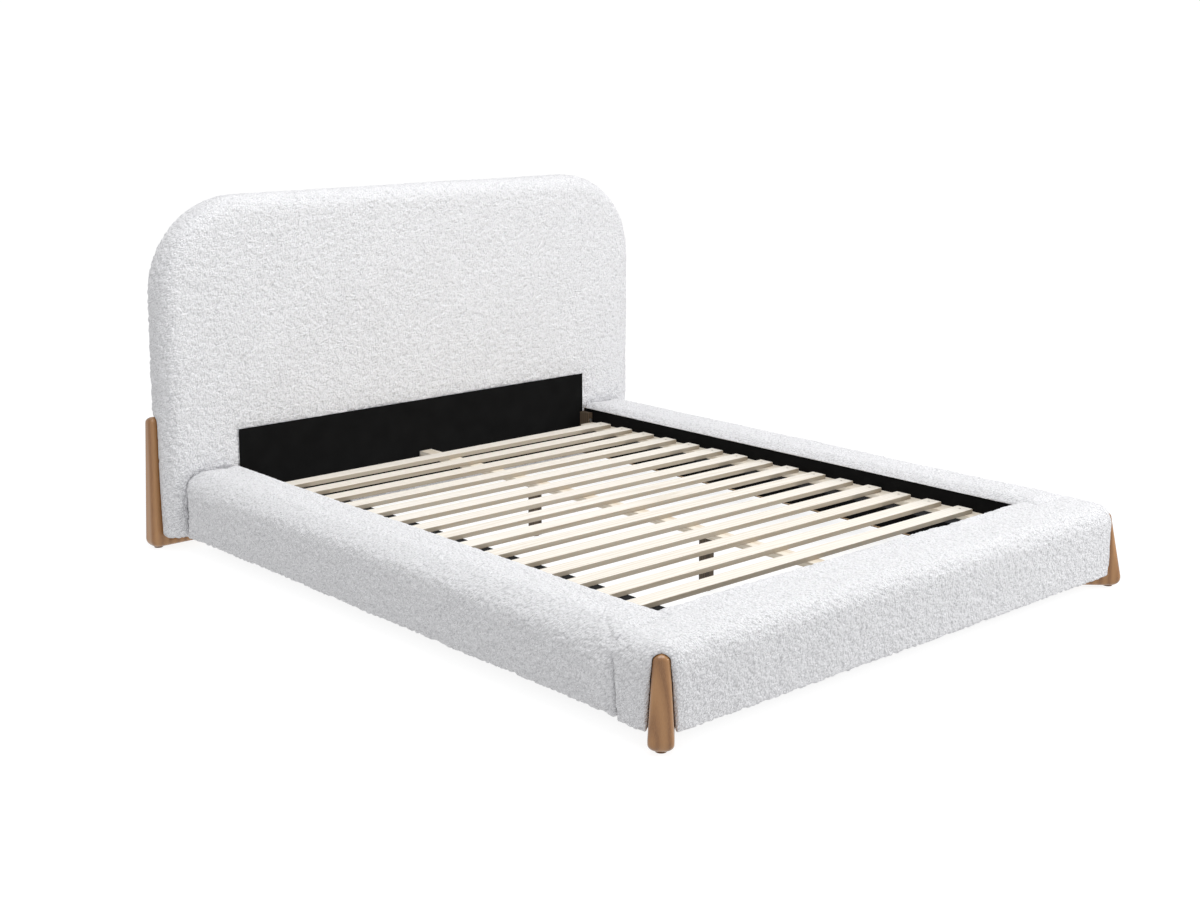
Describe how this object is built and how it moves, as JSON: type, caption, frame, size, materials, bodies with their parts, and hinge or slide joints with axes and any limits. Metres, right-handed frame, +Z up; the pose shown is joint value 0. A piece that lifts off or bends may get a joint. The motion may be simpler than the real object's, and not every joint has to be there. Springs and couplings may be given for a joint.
{
  "type": "upholstered platform bed",
  "caption": "Platform bed with a tall round-cornered padded headboard, thick padded rails, wooden wedge legs at the corners and a slatted mattress base.",
  "frame": {"origin": "on the floor, at the centre of the whole bed's bounding box", "axes": "+Z up, +Y from the foot towards the headboard, +X to the right seen from the foot"},
  "size_m": [2.114, 2.4307, 1.165],
  "materials": {
    "upholstery": "curly boucle pile over foam",
    "back_cloth": "flat woven cloth",
    "lining": "matt non-woven",
    "leg_wood": "satin lacquered mid-brown",
    "slat_wood": "planed pale softwood",
    "frame_wood": "raw plywood and timber",
    "dark_wood": "dark stained",
    "steel": "zinc plated",
    "felt": "pressed felt"
  },
  "bodies": {
    "root": {"headboard_pad": "upholstery", "headboard_lining": "lining", "headboard_back_cover": "back_cloth", "headboard_face_board": "frame_wood", "headboard_stile_left": "frame_wood", "headboard_stile_right": "frame_wood", "headboard_top_rail": "frame_wood", "headboard_bottom_rail": "frame_wood", "leg_rear_left": "leg_wood", "leg_rear_right": "leg_wood", "leg_front_left": "leg_wood", "leg_front_right": "leg_wood", "side_rail_pad_left": "upholstery", "side_rail_pad_right": "upholstery", "side_rail_box_left": "frame_wood", "side_rail_box_right": "frame_wood", "side_rail_board_left": "frame_wood", "side_rail_board_right": "frame_wood", "side_rail_lining_left": "lining", "side_rail_lining_right": "lining", "side_dust_cover_left": "lining", "side_dust_cover_right": "lining", "slat_ledger_left": "slat_wood", "slat_ledger_right": "slat_wood", "foot_rail_pad": "upholstery", "foot_rail_box": "frame_wood", "foot_rail_board": "frame_wood", "foot_rail_lining": "lining", "foot_dust_cover": "lining", "corner_block_head_left": "dark_wood", "corner_block_head_right": "dark_wood", "corner_block_foot_left": "dark_wood", "corner_block_foot_right": "dark_wood", "slat_01": "slat_wood", "slat_02": "slat_wood", "slat_03": "slat_wood", "slat_04": "slat_wood", "slat_05": "slat_wood", "slat_06": "slat_wood", "slat_07": "slat_wood", "slat_08": "slat_wood", "slat_09": "slat_wood", "slat_10": "slat_wood", "slat_11": "slat_wood", "slat_12": "slat_wood", "slat_13": "slat_wood", "slat_14": "slat_wood", "slat_15": "slat_wood", "slat_strap_left": "lining", "slat_strap_right": "lining", "centre_rail": "slat_wood", "centre_hanger_head": "steel", "centre_hanger_foot": "steel", "centre_leg_head": "dark_wood", "centre_leg_foot": "dark_wood", "slat_screws": "steel", "frame_bolts": "steel", "leg_bolts": "steel", "floor_glides": "felt"}
  },
  "joints": []
}
